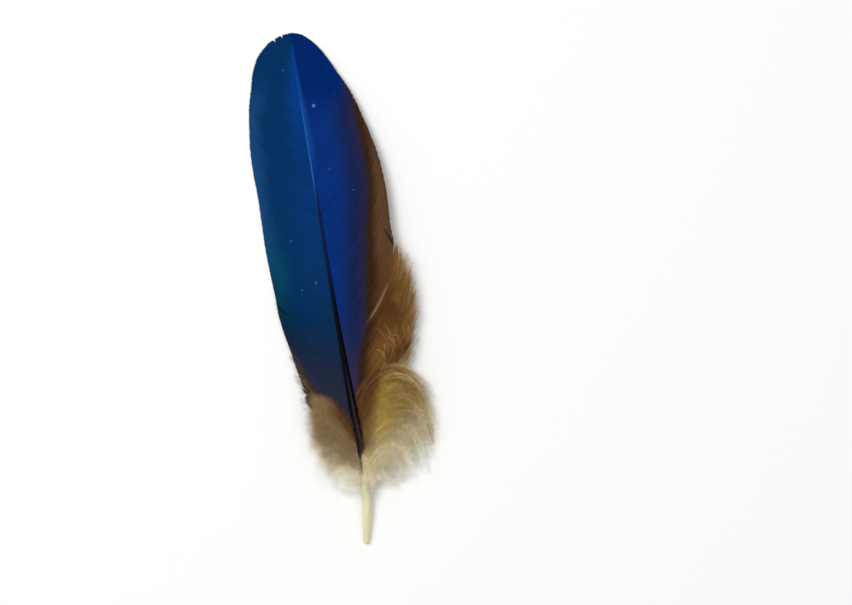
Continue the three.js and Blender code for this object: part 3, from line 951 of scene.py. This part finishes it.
def outer_vane_finish():
    """Deep blue, brighter beside the shaft and with a painted highlight there near the tip, with a paler
    edge that turns sea teal lower down, and dusky towards the down. A crease has painted shadow along it."""
    finish = Finish("outer_vane", Roughness=VANE_ROUGHNESS, Specular_IOR_Level=0.0)
    along, reach, root = finish.fields("along", "reach", "root")
    cloud = finish.noise(along * 0.09, reach * 1.6, 2.0)
    outward = reach + (cloud - 0.5) * 0.4
    beside_shaft = finish.mix(finish.step(along, 58.0, 88.0), LOW_BLUE, SHAFT_BLUE)
    blue = finish.mix(finish.step(reach, 0.05, 0.5), beside_shaft, DEEP_BLUE)
    # painted highlight in tip blue beside the shaft, near the tip
    painted_highlight = finish.fade(reach, 0.08, 0.34) * finish.step(along, 96.0, 112.0)
    blue = finish.mix(painted_highlight * 0.55, blue, TIP_BLUE_AND_HIGHLIGHT)
    edge = finish.step(outward, 0.62, 0.98) * finish.step(along, 58.0, 76.0)
    blue = finish.mix(edge * finish.fade(along, 108.0, 122.0), blue, EDGE_BLUE)
    low_edge = finish.step(outward, 0.4, 0.9) * finish.fade(along, 66.0, 88.0)
    sea = finish.mix(finish.step(along, 52.0, 66.0), DEEP_SEA, SEA_TEAL)
    blue = finish.mix(low_edge, blue, sea)
    blue = finish.mix(finish.fade(along - reach * 12.0, 38.0, 66.0), blue, NIGHT_TEAL)
    blue = finish.mix(finish.fade(along - reach * 5.5, 28.0, 58.0), blue, DUSK)
    # painted shadow along the outer crease
    blue = finish.mix(crease(finish, *OUTER_CREASE) * 0.75, blue, CREASE_SHADOW)
    blue = speckled(finish, blue, OUTER_SPECKS)
    blue = finish.mix(finish.fade(root + (cloud - 0.5) * 5.0, 26.0, 33.0), blue, ASH)
    herringbone(finish)
    return finish.coloured(underside(finish, streaks(finish, blue, 0.28)))


def inner_vane_finish():
    """Royal blue beside the shaft, indigo and then violet at the edge of the blue, dark brown past it,
    brown further out, warmer low down and tan at the frayed rim. The tip is blue throughout. A crease near
    the rim has painted shadow along it."""
    finish = Finish("inner_vane", Roughness=VANE_ROUGHNESS, Specular_IOR_Level=0.0)
    along, reach, root, chance, pale = finish.fields("along", "reach", "root", "chance", "pale")
    cloud = finish.noise(along * 0.12, reach * 2.0, 5.0)
    past = finish.field("past_blue") + (cloud - 0.5) * 1.6 + chance * 0.3
    blue = finish.mix(finish.step(past, -8.0, -2.2), ROYAL, INDIGO)
    blue = finish.mix(finish.step(along, 106.0, 116.0), blue, NIGHT_BLUE)
    beside_ridge = finish.fade(reach, 0.02, 0.12) * finish.step(along, 92.0, 102.0)
    blue = finish.mix(beside_ridge, blue, RIDGE_SIDE)
    blue = finish.mix(finish.step(past, -2.8, -0.2), blue, VIOLET)
    blue = finish.mix(finish.fade(along + past * 1.5, 34.0, 50.0) * 0.85, blue, DUSK_VIOLET)
    later = finish.fade(along, 60.0, 82.0) * 1.8
    brown = finish.mix(finish.step(past - later, 0.6, 3.4), DARK_BROWN, BROWN)
    rusty = finish.step(past, 0.8, 4.0) * finish.fade(along, 56.0, 74.0)
    brown = finish.mix(rusty, brown, RUST_BROWN)
    warm = finish.step(past, 1.0, 6.0) * finish.fade(along, 44.0, 58.0)
    brown = finish.mix(warm, brown, WARM_BROWN)
    frayed_rim = finish.step(reach + (cloud - 0.5) * 0.25, 0.66, 0.94) * finish.fade(root, 44.0, 54.0)
    brown = finish.mix(frayed_rim, brown, TAN)
    whole_rim = finish.step(reach, 0.95, 1.0) * finish.step(root, 50.0, 60.0)
    brown = finish.mix(whole_rim * 0.6, brown, DARK_BROWN)
    colour = finish.mix(finish.step(past, -0.7, 1.0), blue, brown)
    # painted shadow along the inner crease
    colour = finish.mix(crease(finish, *INNER_CREASE) * 0.85, colour, CREASE_SHADOW)
    colour = finish.mix(pale * 0.5, colour, PALE_BARB)
    colour = speckled(finish, colour, INNER_SPECKS)
    herringbone(finish)
    return finish.coloured(underside(finish, streaks(finish, colour, 0.32)))


HORN_BLACK = paint(3, 4, 10)
HORN_NIGHT = paint(8, 24, 64)
HORN_BROWN = paint(30, 20, 18)
# colour of a painted highlight on the rachis
PAINTED_GLEAM = paint(66, 54, 60)
# partly the rachis's own blue and partly a painted highlight
RIDGE_BLUE_AND_HIGHLIGHT = paint(24, 84, 156)
RACHIS_EDGE = paint(52, 78, 116)
CREAM = paint(218, 212, 166)
PALE_CREAM = paint(228, 224, 192)
DUSK_CREAM = paint(204, 198, 164)
HORN_ROUGHNESS = 0.45
HORN_SHINE = 0.04
FIBRE_STRENGTH = 0.15
FIBRE_RELIEF = 0.0001  # metres


def shaft_finish():
    """Cream at the quill, with a dark streak on both sides where the black rachis begins. The rachis has a
    faint painted highlight along its middle low down, and its upper side fades through night blue into a
    light blue ridge towards the tip, which is partly the rachis's own blue and partly painted highlight:
    it comes sooner on the outer side, and the inner side keeps painted shade."""
    finish = Finish("shaft", Roughness=HORN_ROUGHNESS, Specular_IOR_Level=HORN_SHINE)
    along, beside, around = finish.fields("along", "beside", "around")
    above = finish.step(around, -0.4, 0.2)
    grain = finish.noise(beside * 3.0, along * 0.12, 1.0)
    cream = finish.mix(finish.step(grain, 0.35, 0.7), CREAM, PALE_CREAM)
    cream = finish.mix(finish.step(along, 8.0, 14.0), cream, DUSK_CREAM)
    dark = finish.mix(finish.step(along, 24.0, 40.0), HORN_BROWN, HORN_BLACK)
    dark = finish.mix(finish.step(along, 56.0, 78.0) * above, dark, HORN_NIGHT)
    # painted highlight: a faint stripe along the middle of the rachis low down
    painted_gleam = finish.fade(finish.apart(beside, 0.1), 0.08, 0.3)
    painted_gleam = painted_gleam * finish.step(along, 17.0, 21.0) * finish.fade(along, 34.0, 48.0)
    dark = finish.mix(painted_gleam * 0.5, dark, PAINTED_GLEAM)
    outer_prong = finish.fade(finish.apart(beside, -0.55), 0.1, 0.45)
    inner_prong = finish.fade(finish.apart(beside, 0.75), 0.1, 0.35)
    turn = along + (outer_prong + inner_prong * 0.5) * 4.8 + (grain - 0.5) * 1.5
    colour = finish.mix(finish.step(turn, 21.6, 23.0), cream, dark)
    edge = finish.step(0.0 - beside, 0.55, 0.85) * finish.step(along, 34.0, 48.0)
    colour = finish.mix(edge * 0.12, colour, RACHIS_EDGE)
    # the rachis top turns light blue towards the tip, partly its own blue and partly painted highlight;
    # the turn comes sooner on the outer side, where light falls, and the inner side keeps painted shade
    ridge = finish.step(along - beside * 4.0, 84.0, 96.0)
    colour = finish.mix(ridge * above, colour, RIDGE_BLUE_AND_HIGHLIGHT)
    colour = finish.mix(finish.step(along, 104.0, 121.0) * above, colour, TIP_BLUE_AND_HIGHLIGHT)
    fibre = finish.noise(beside * 9.0, along * 0.5, 4.0, 3.0)
    finish.bump(fibre, FIBRE_STRENGTH, FIBRE_RELIEF)
    return finish.coloured(colour)


ROOT_BROWN = paint(126, 88, 52)
MAT_BROWN = paint(164, 118, 62)
DOWN_OLIVE = paint(206, 178, 92)
DOWN_GOLD = paint(224, 200, 128)
DOWN_UMBER_AND_SHADE = paint(168, 138, 74)
DOWN_KHAKI = paint(202, 176, 118)
DOWN_DRAB = paint(176, 150, 108)
DOWN_STRAW = paint(232, 212, 162)
DOWN_SMOKE = paint(238, 226, 194)
DOWN_WHITE = paint(250, 248, 238)
LOOSE_TAN = paint(142, 104, 54)
LOOSE_PALE = paint(192, 148, 94)
FRINGE_TAN = paint(104, 82, 58)
FRINGE_PALE = paint(150, 122, 86)
TUFT_TAN = paint(162, 118, 66)
TUFT_PALE = paint(208, 162, 106)
CURL_DIM = paint(176, 150, 100)
CURL_PALE = paint(222, 202, 152)


DOWN_ROUGHNESS = 0.9
THREAD_ROUGHNESS = 0.8
DOWN_SHINE = 0.05
SHAFT_SIDE = 2.5  # across, about where the shaft is between the two sides of the down


def down_finish():
    """Brown at the roots of the upper down, then olive and gold, then umber and khaki where it curls
    over, with locks of straw. Lower down it is smoky, and nearly white at the quill."""
    finish = Finish("down", Roughness=DOWN_ROUGHNESS, Specular_IOR_Level=DOWN_SHINE)
    along, across, reach = finish.fields("along", "across", "reach")
    chance, root = finish.fields("chance", "root")
    cloud = finish.noise(across * 0.35, along * 0.35)
    grain = finish.noise(across * 1.1, along * 0.7, 8.0, 3.0)
    outer = finish.fade(across, 1.2, 2.8)
    aside = finish.apart(across, SHAFT_SIDE)

    mat = finish.mix(finish.step(along, 26.0, 36.0), DOWN_GOLD, DOWN_OLIVE)
    curl = finish.mix(finish.step(along + chance * 3.0, 28.0, 37.0), DOWN_KHAKI, DOWN_UMBER_AND_SHADE)
    curled = finish.step(reach + chance * 0.1 + (cloud - 0.5) * 0.3, 0.36, 0.54)
    upper = finish.mix(curled, mat, curl)
    straw = finish.step(chance, 0.2, 0.6) * finish.step(reach, 0.4, 0.6)
    upper = finish.mix(straw * 0.75, upper, DOWN_STRAW)

    low = 24.0 + aside * 0.6 - along + (cloud - 0.5) * 6.0 + chance * 1.5
    colour = finish.mix(finish.step(low, -1.5, 6.0), upper, DOWN_SMOKE)
    colour = finish.mix(finish.step(low, 6.0, 14.0), colour, DOWN_WHITE)
    colour = finish.mix(outer * finish.fade(low, 2.0, 8.0), colour, DOWN_DRAB)

    high = finish.step(along + (cloud - 0.5) * 3.0 - aside * 1.5 + outer * 4.0, 25.0, 31.0)
    climb = reach + chance * 0.05 - (root - 27.0) * 0.03
    colour = finish.mix(finish.fade(climb, 0.16, 0.42) * high, colour, MAT_BROWN)
    colour = finish.mix(finish.fade(climb - outer * 0.15, 0.02, 0.22) * high, colour, ROOT_BROWN)
    # painted shade: the strands at the far rim of the inner down are darkened a little towards umber
    rim = finish.step(across, 15.0, 19.5) * finish.step(along, 20.0, 26.0)
    colour = finish.mix(rim * 0.2, colour, DOWN_UMBER_AND_SHADE)
    beside_shaft = finish.fade(across - (along - 22.0) * 0.25, 2.6, 6.4) * finish.step(along, 21.5, 25.0)
    colour = finish.mix(beside_shaft * (1.0 - outer) * 0.72, colour, ROOT_BROWN)
    by_chance = chance * (0.14 + 0.16 * finish.step(reach, 0.45, 0.7))
    return finish.coloured(finish.scaled(colour, 1.0 + by_chance + (grain - 0.5) * 0.4))


def loose_finish(name, start, middle, tip, straw_share):
    """Threads that turn from the start's colour to the middle's and then to the tip's. Where they lie
    in the inner down, they are mixed with straw by its share."""
    finish = Finish(name, Roughness=THREAD_ROUGHNESS, Specular_IOR_Level=DOWN_SHINE)
    reach, chance, along, across = finish.fields("reach", "chance", "along", "across")
    colour = finish.mix(finish.step(reach, 0.62, 0.84), start, middle)
    colour = finish.mix(finish.step(reach + chance * 0.2, 0.82, 1.08), colour, tip)
    straw = finish.mix(finish.step(chance, -0.7, 0.7), CURL_DIM, CURL_PALE)
    in_down = finish.fade(along, 42.0, 47.0) * finish.step(across, 0.0, 2.0)
    return finish.coloured(finish.mix(in_down * straw_share, colour, straw))


# ---- The pieces ----

# Each row: where a barb leaves the shaft, and how frayed it is.
OUTER_FRAYED = [[22, 0.5], [27, 0.25], [33, 0.08], [40, 0.03], [118, 0.0], [125.5, 0.1]]
INNER_FRAYED = [[27, 0.9], [36, 0.6], [42, 0.4], [48, 0.25], [53, 0.08], [60, 0.03], [125.5, 0.02]]
# Each: where the parted barbs leave the shaft, the share of their length that stays closed, the gap.
OUTER_PARTINGS = [(119.6, 0.8, 0.55), (122.2, 0.78, 0.6)]
INNER_PARTINGS = [(51.0, 0.8, 0.6), (47.3, 0.35, 0.2)]
# Each: where the barbs beyond a fold leave the shaft, where on them it begins, and its step up.
OUTER_FOLDS = [(43.6, 0.6, 0.35)]
INNER_FOLDS = [(51.0, 0.7, 0.5), (46.2, 0.35, 0.3)]

# Each: where a pale barb leaves the shaft, and the shares of its length between which it is pale.
INNER_PALE = [(48.9, 0.28, 0.72), (34.2, 0.0, 0.5), (36.9, 0.0, 0.3)]

# How loose barbs look. ragged: how much shorter some are. stray: how far the two handles and the tip
# stray. lock: barbs in a lock. loose: the share of straying that isn't the lock's. wave: how far a
# barb waves. loft: how high a lock rises, and late: whether only in its outer half. sunk: how deep
# its start lies. thick and fine: a barb's and a hair's radius. barbules: pairs of hairs on a barb.
# barbule: a hair's length. fluff: how far hairs stand up and hang down.
DOWN_LOOK = {
    "ragged": 0.3, "stray": (1.8, 2.3, 1.2), "lock": 5, "loose": 0.5, "wave": 0.9, "loft": 1.5,
    "late": 0.0, "sunk": 0.0, "thick": 0.045, "fine": 0.02, "barbules": 42, "barbule": 2.7, "fluff": 0.4,
}
SMOKE_LOOK = {
    **DOWN_LOOK, "ragged": 0.15, "stray": (1.3, 1.6, 1.0), "loft": 1.4, "barbules": 40, "barbule": 3.0,
}
CURL_LOOK = {
    **DOWN_LOOK, "stray": (1.8, 2.2, 1.5), "lock": 6, "loose": 0.2, "wave": 0.5, "loft": 1.9, "late": 1.0,
    "thick": 0.06, "barbules": 30, "barbule": 0.8,
}
PALE_LOOK = {
    **CURL_LOOK, "ragged": 0.15, "stray": (1.2, 1.6, 1.0), "lock": 4, "loft": 2.5, "sunk": 0.6,
    "thick": 0.09, "barbules": 36, "barbule": 0.6,
}
TUFT_LOOK = {
    **CURL_LOOK, "stray": (1.3, 2.0, 1.5), "lock": 3, "loose": 0.5, "wave": 0.7, "loft": 0.3, "sunk": 0.4,
    "thick": 0.05, "barbules": 22,
}
WISP_LOOK = {
    **DOWN_LOOK, "stray": (2.4, 3.2, 2.2), "lock": 1, "sunk": 0.4, "thick": 0.03, "fine": 0.014,
    "barbules": 30, "barbule": 1.7,
}
FLUFF_LOOK = {
    **DOWN_LOOK, "stray": (1.0, 0.7, 0.15), "loft": 0.3, "thick": 0.03, "barbules": 30, "barbule": 1.6,
}
LOOSE_LOOK = {
    **DOWN_LOOK, "ragged": 0.12, "stray": (0.7, 1.3, 0.5), "wave": 0.6, "loft": 0.3, "sunk": 0.5,
    "fine": 0.016, "barbules": 32, "barbule": 1.1, "fluff": 0.3,
}
FRINGE_LOOK = {**LOOSE_LOOK, "lock": 3, "sunk": 0.2, "barbules": 22}

# Each row: name, finish, side, rows, where its first and last barbs leave the shaft, barbs, the part
# of their length that they have, seed, look.
DOWN_PIECES = [
    ("outer_down", "down", -1, OUTER_DOWN, (14, 30), 110, (0.0, 1.0), 21, DOWN_LOOK),
    ("inner_down", "down", 1, INNER_DOWN, (16, 34), 200, (0.0, 1.0), 22, DOWN_LOOK),
    ("low_down", "down", 1, INNER_DOWN, (14, 23), 120, (0.0, 1.0), 28, SMOKE_LOOK),
    ("inner_curls", "down", 1, INNER_DOWN, (21, 37), 200, (0.0, 1.03), 23, CURL_LOOK),
    ("pale_curls", "threads", 1, INNER_DOWN, (25, 36.5), 44, (0.42, 1.03), 25, PALE_LOOK),
    ("inner_wisps", "down", 1, INNER_DOWN, (15, 35), 45, (0.3, 1.08), 29, WISP_LOOK),
    ("outer_wisps", "down", -1, OUTER_DOWN, (15, 30), 28, (0.3, 1.08), 30, WISP_LOOK),
    ("tufts", "tufts", 1, TUFTS, (28, 37), 96, (0.55, 1.05), 27, TUFT_LOOK),
    ("quill_fluff", "down", 1, QUILL_FLUFF, (14.5, 24), 50, (0.0, 1.0), 26, FLUFF_LOOK),
]
FRAYED_PIECES = [
    ("loose_barbs", "threads", 1, INNER_WEB, (28, 50), 170, (0.66, 1.04), 24, LOOSE_LOOK),
    ("outer_fringe", "fringe", -1, OUTER_WEB, (25, 34), 32, (0.7, 1.08), 31, FRINGE_LOOK),
]
WEB_BARBS = 250  # in each vane
VANE_PIECES = ("tufts", "loose_barbs", "outer_fringe")  # loose barbs that belong to the vanes


def make_feather():
    """Every piece of the feather: the shaft, the two vanes, then the loose barbs of the tables."""
    finishes = {
        "down": down_finish(),
        "threads": loose_finish("loose_barbs", WARM_BROWN, LOOSE_TAN, LOOSE_PALE, 1.0),
        "tufts": loose_finish("tufts", WARM_BROWN, TUFT_TAN, TUFT_PALE, 0.3),
        "fringe": loose_finish("outer_fringe", ASH, FRINGE_TAN, FRINGE_PALE, 0.0),
    }
    make_shaft(shaft_finish())
    web("outer_vane", -1, OUTER_WEB, 25.0, WEB_BARBS, OUTER_FRAYED, OUTER_PARTINGS, OUTER_FOLDS, [], 11,
        outer_vane_finish())
    web("inner_vane", 1, INNER_WEB, 27.0, WEB_BARBS, INNER_FRAYED, INNER_PARTINGS, INNER_FOLDS,
        INNER_PALE, 12, inner_vane_finish())
    groups = ((down_lines, DOWN_TIP, DOWN_PIECES), (loose_lines, WEB_TIP, FRAYED_PIECES))
    for curve, tip_place, pieces in groups:
        for name, finish, side, rows, ends, count, span, seed, look in pieces:
            roots = even_roots(rows, tip_place, *ends, count)
            slot = "feather" if name in VANE_PIECES else "down"
            plumes(name, curve, side, rows, roots, span, seed, finishes[finish], look)


# ---- Floor, light and camera ----

FLOOR_SIZE = 3.0  # metres
LENS = 85.0
SENSOR = 36.0
VIEW_WIDTH = 213.0  # how much of the floor the camera sees from side to side
VIEW_CENTRE = (23.6, 57.6)  # across and along, under the camera
VIEW_TURN = 8.32  # degrees that the feather leans to the left in the camera's view
SUBJECT_HEIGHT = 3.0
NEAREST = 0.01  # metres from the camera, where its view begins
PAPER = (0.92, 0.92, 0.91, 1)
PAPER_ROUGHNESS = 0.9
# Each light: place in metres, size in metres, power in watts.
KEY_LIGHT = ((-0.45, 0.4, 1.0), 0.6, 8.0)
FILL_LIGHT = ((0.7, -0.4, 1.0), 0.9, 2.5)
SKY_STRENGTH = 0.52


def make_floor():
    """A square of plain white paper under the feather."""
    half = FLOOR_SIZE / 2
    corners = [(-half, -half, 0), (half, -half, 0), (half, half, 0), (-half, half, 0)]
    mesh = bpy.data.meshes.new("floor")
    mesh.from_pydata(corners, [], [(0, 1, 2, 3)])
    finish = Finish("paper", Roughness=PAPER_ROUGHNESS, Specular_IOR_Level=0.0)
    mesh.materials.append(finish.coloured(PAPER))
    floor = bpy.data.objects.new("floor", mesh)
    bpy.context.scene.collection.objects.link(floor)


def make_light(name, place, size, power):
    """A square soft light that faces the feather."""
    light = bpy.data.lights.new(name, "AREA")
    light.size = size
    light.energy = power
    lamp = bpy.data.objects.new(name, light)
    lamp.location = place
    lamp.rotation_mode = "QUATERNION"
    lamp.rotation_quaternion = (-Vector(place)).to_track_quat("-Z", "Y")
    bpy.context.scene.collection.objects.link(lamp)


def make_camera():
    """A camera that looks straight down, turned so that the feather leans. Its distance is the width
    that it sees times the lens over the sensor."""
    camera_data = bpy.data.cameras.new("camera")
    camera_data.lens = LENS
    camera_data.sensor_width = SENSOR
    camera_data.clip_start = NEAREST
    height = VIEW_WIDTH * LENS / SENSOR + SUBJECT_HEIGHT
    camera = bpy.data.objects.new("camera", camera_data)
    camera.location = (solid_place() + [*VIEW_CENTRE, height]) * MM
    camera.rotation_euler = (0, 0, -math.radians(VIEW_TURN))
    bpy.context.scene.collection.objects.link(camera)
    bpy.context.scene.camera = camera


def make_studio():
    """A white floor, one broad light above to the left, a weaker one to the right, and white sky."""
    make_floor()
    make_light("key", *KEY_LIGHT)
    make_light("fill", *FILL_LIGHT)
    world = bpy.data.worlds.new("sky")
    world.use_nodes = True
    background = world.node_tree.nodes["Background"].inputs
    background["Color"].default_value = (1, 1, 1, 1)
    background["Strength"].default_value = SKY_STRENGTH
    bpy.context.scene.world = world
    bpy.context.scene.view_settings.view_transform = "Standard"


make_studio()
make_camera()
make_feather()
